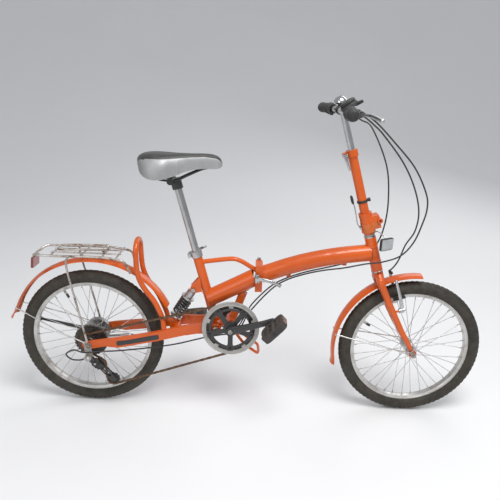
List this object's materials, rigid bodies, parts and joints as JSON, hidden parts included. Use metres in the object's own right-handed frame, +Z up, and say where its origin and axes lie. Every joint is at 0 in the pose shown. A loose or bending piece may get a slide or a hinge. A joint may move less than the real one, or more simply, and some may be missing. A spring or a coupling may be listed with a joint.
{
  "type": "folding_bicycle",
  "caption": "A folding city bicycle with small wheels, rear suspension, a telescopic handle post, mudguards and a rear carrier.",
  "frame": {"origin": "on the ground, under the middle of the length of the upright bicycle, in the plane of the wheels", "axes": "+X to the front wheel, +Y to the left side of the bicycle, +Z up"},
  "size_m": [1.645, 0.62, 1.0985],
  "materials": {
    "orange_paint": "gloss",
    "chrome": "polished",
    "bright_steel": "brushed",
    "alloy": "satin",
    "black_plastic": "matte",
    "grey_plastic": "matte",
    "red_plastic": "gloss",
    "tyre": "matte",
    "grip_rubber": "matte",
    "saddle_cover": "satin",
    "black_paint": "satin",
    "chain_steel": "satin"
  },
  "bodies": {
    "rear_frame": {"rear_frame": "orange_paint", "bottom_bracket": "bright_steel", "frame_pins": "bright_steel", "seat_clamp": "alloy", "chain": "chain_steel", "cables": "black_plastic"},
    "frame_lever": {"frame_hinge_lever": "chrome"},
    "seat_lever": {"seat_clamp_lever": "chrome"},
    "seat": {"seatpost": "chrome", "saddle_rails": "black_paint", "saddle": "saddle_cover"},
    "crankset": {"crank_axles": "bright_steel", "crank_arms": "black_paint", "chainring": "black_paint", "chain_guard": "grey_plastic"},
    "right_pedal": {"pedal_right": "black_plastic"},
    "left_pedal": {"pedal_left": "black_plastic"},
    "swing_arm": {"swingarm": "orange_paint", "rear_mudguard": "orange_paint", "rack": "chrome", "rear_reflector": "red_plastic", "rear_axle": "bright_steel", "rear_brake": "alloy"},
    "rack_spring": {"rack_clip": "chrome"},
    "derailleur": {"derailleur_body": "black_plastic"},
    "cage": {"derailleur_cage": "black_paint"},
    "guide_pulley": {"pulley_top": "black_plastic"},
    "tension_pulley": {"pulley_bottom": "black_plastic"},
    "stand": {"kickstand": "black_paint"},
    "damper": {"shock_body": "bright_steel", "shock_spring": "black_paint"},
    "damper_rod": {"shock_shaft": "bright_steel"},
    "rear_wheel": {"rear_tyre": "tyre", "rear_rim": "alloy", "rear_spokes": "chrome", "rear_hub": "alloy"},
    "freewheel": {"sprockets": "black_paint"},
    "front_frame": {"front_frame": "orange_paint", "headset": "chrome"},
    "steering": {"fork": "orange_paint", "stem_base": "orange_paint", "front_reflector": "grey_plastic", "front_mudguard": "orange_paint", "front_axle": "bright_steel"},
    "left_brake_arm": {"brake_arm_left": "alloy"},
    "right_brake_arm": {"brake_arm_right": "alloy"},
    "front_wheel": {"front_tyre": "tyre", "front_rim": "alloy", "front_spokes": "chrome", "front_hub": "alloy"},
    "handle_post": {"handlepost": "orange_paint"},
    "stem_catch": {"stem_lever": "chrome"},
    "post_lever": {"post_clamp_lever": "chrome"},
    "cockpit": {"handlebar": "chrome", "grips": "grip_rubber", "shifter": "black_plastic", "bell": "chrome"},
    "left_lever": {"brake_lever_left": "alloy"},
    "right_lever": {"brake_lever_right": "alloy"},
    "gear_dial": {"shift_dial": "black_plastic"}
  },
  "joints": [
    {"name": "frame_fold", "type": "hinge", "parent": "rear_frame", "child": "front_frame", "pos_m": [0.02755, 0.04, 0.499], "axis": [0, 0, 1], "range_deg": [0, 138], "deforming": ["cables"]},
    {"name": "steering_turn", "type": "hinge", "parent": "front_frame", "child": "steering", "pos_m": [0.43385, 0, 0.522], "axis": [0.299, 0, -0.9542], "range_deg": [-62, 62]},
    {"name": "front_wheel_spin", "type": "hinge", "parent": "steering", "child": "front_wheel", "pos_m": [0.57255, 0, 0.25], "axis": [0, 1, 0], "continuous": true},
    {"name": "handle_post_fold", "type": "hinge", "parent": "steering", "child": "handle_post", "pos_m": [0.4158, 0, 0.71336], "axis": [0, 1, 0], "range_deg": [0, 125]},
    {"name": "stem_lever_turn", "type": "hinge", "parent": "handle_post", "child": "stem_catch", "pos_m": [0.35832, 0, 0.68277], "axis": [0, -1, 0], "range_deg": [0, 100]},
    {"name": "bar_height", "type": "slide", "parent": "handle_post", "child": "cockpit", "axis": [-0.299, 0, 0.9542], "range_m": [-0.1, 0.04]},
    {"name": "post_lever_turn", "type": "hinge", "parent": "handle_post", "child": "post_lever", "pos_m": [0.2835, -0.02, 0.91817], "axis": [-0.9542, 0, -0.299], "range_deg": [0, 110]},
    {"name": "left_lever_pull", "type": "hinge", "parent": "cockpit", "child": "left_lever", "pos_m": [0.29251, 0.16308, 1.05047], "axis": [0, 0, 1], "range_deg": [0, 18], "stiffness_Nm_per_rad": 0.8},
    {"name": "right_lever_pull", "type": "hinge", "parent": "cockpit", "child": "right_lever", "pos_m": [0.29251, -0.16308, 1.05047], "axis": [0, 0, -1], "range_deg": [0, 18], "stiffness_Nm_per_rad": 0.8},
    {"name": "left_brake_close", "type": "hinge", "parent": "steering", "child": "left_brake_arm", "pos_m": [0.51687, 0.042, 0.40759], "axis": [0.9542, 0, 0.299], "range_deg": [0, 2.6]},
    {"name": "right_brake_close", "type": "hinge", "parent": "steering", "child": "right_brake_arm", "pos_m": [0.51687, -0.042, 0.40759], "axis": [-0.9542, 0, -0.299], "range_deg": [0, 2.6]},
    {"name": "gear_dial_turn", "type": "hinge", "parent": "cockpit", "child": "gear_dial", "pos_m": [0.2602, -0.112, 1.07884], "axis": [-0.5592, 0, 0.829], "range_deg": [-20, 90]},
    {"name": "frame_lever_turn", "type": "hinge", "parent": "rear_frame", "child": "frame_lever", "pos_m": [0.02155, -0.044, 0.499], "axis": [0, 0, -1], "range_deg": [0, 150]},
    {"name": "seat_lever_turn", "type": "hinge", "parent": "rear_frame", "child": "seat_lever", "pos_m": [-0.2077, 0.02, 0.56618], "axis": [-0.2672, 0, 0.9636], "range_deg": [0, 110]},
    {"name": "saddle_height", "type": "slide", "parent": "rear_frame", "child": "seat", "axis": [-0.2672, 0, 0.9636], "range_m": [-0.1, 0.06]},
    {"name": "crank_turn", "type": "hinge", "parent": "rear_frame", "child": "crankset", "pos_m": [-0.06245, 0, 0.325], "axis": [0, 1, 0], "continuous": true},
    {"name": "right_pedal_spin", "type": "hinge", "parent": "crankset", "child": "right_pedal", "pos_m": [0.08138, 0, 0.3676], "axis": [0, 1, 0], "continuous": true},
    {"name": "left_pedal_spin", "type": "hinge", "parent": "crankset", "child": "left_pedal", "pos_m": [-0.20627, 0, 0.2824], "axis": [0, 1, 0], "continuous": true},
    {"name": "swing", "type": "hinge", "parent": "rear_frame", "child": "swing_arm", "pos_m": [-0.11445, 0, 0.316], "axis": [0, 1, 0], "range_deg": [0, 5], "stiffness_Nm_per_rad": 2600, "deforming": ["chain", "shock_spring"]},
    {"name": "shock_swing", "type": "hinge", "parent": "rear_frame", "child": "damper", "pos_m": [-0.19445, 0, 0.446], "axis": [0, 1, 0], "range_deg": [0, 2.49]},
    {"name": "shock_stroke", "type": "slide", "parent": "damper", "child": "damper_rod", "axis": [0.5145, 0, 0.8575], "range_m": [0, 0.01192]},
    {"name": "rear_wheel_spin", "type": "hinge", "parent": "swing_arm", "child": "rear_wheel", "pos_m": [-0.55045, 0, 0.25], "axis": [0, 1, 0], "continuous": true},
    {"name": "freewheel_turn", "type": "hinge", "parent": "swing_arm", "child": "freewheel", "pos_m": [-0.55045, 0, 0.25], "axis": [0, 1, 0], "continuous": true},
    {"name": "gear_shift", "type": "slide", "parent": "swing_arm", "child": "derailleur", "axis": [0, 1, 0], "range_m": [-0.00307, 0.01382]},
    {"name": "cage_swing", "type": "hinge", "parent": "derailleur", "child": "cage", "pos_m": [-0.52845, 0, 0.182], "axis": [0, 1, 0], "range_deg": [-20, 12], "stiffness_Nm_per_rad": 0.5},
    {"name": "guide_pulley_turn", "type": "hinge", "parent": "cage", "child": "guide_pulley", "pos_m": [-0.52045, 0, 0.168], "axis": [0, 1, 0], "continuous": true},
    {"name": "tension_pulley_turn", "type": "hinge", "parent": "cage", "child": "tension_pulley", "pos_m": [-0.47245, 0, 0.113], "axis": [0, 1, 0], "continuous": true},
    {"name": "stand_swing", "type": "hinge", "parent": "swing_arm", "child": "stand", "pos_m": [-0.58445, 0, 0.232], "axis": [0, -1, 0], "range_deg": [0, 112]},
    {"name": "rack_clip_lift", "type": "hinge", "parent": "swing_arm", "child": "rack_spring", "pos_m": [-0.49045, 0, 0.579], "axis": [0, 1, 0], "range_deg": [0, 70], "stiffness_Nm_per_rad": 0.5}
  ],
  "couplings": [
    {"joint": "left_brake_close", "follows": "right_lever_pull", "ratio": 0.1444},
    {"joint": "right_brake_close", "follows": "right_lever_pull", "ratio": 0.1444},
    {"joint": "shock_swing", "follows": "swing", "ratio": 0.49738},
    {"joint": "shock_stroke", "follows": "swing", "m_per_rad": 0.13663},
    {"joint": "freewheel_turn", "follows": "crank_turn", "ratio": 2.75},
    {"joint": "guide_pulley_turn", "follows": "crank_turn", "ratio": -4},
    {"joint": "tension_pulley_turn", "follows": "crank_turn", "ratio": 4},
    {"joint": "gear_dial_turn", "follows": "gear_shift", "rad_per_m": 113.64}
  ]
}
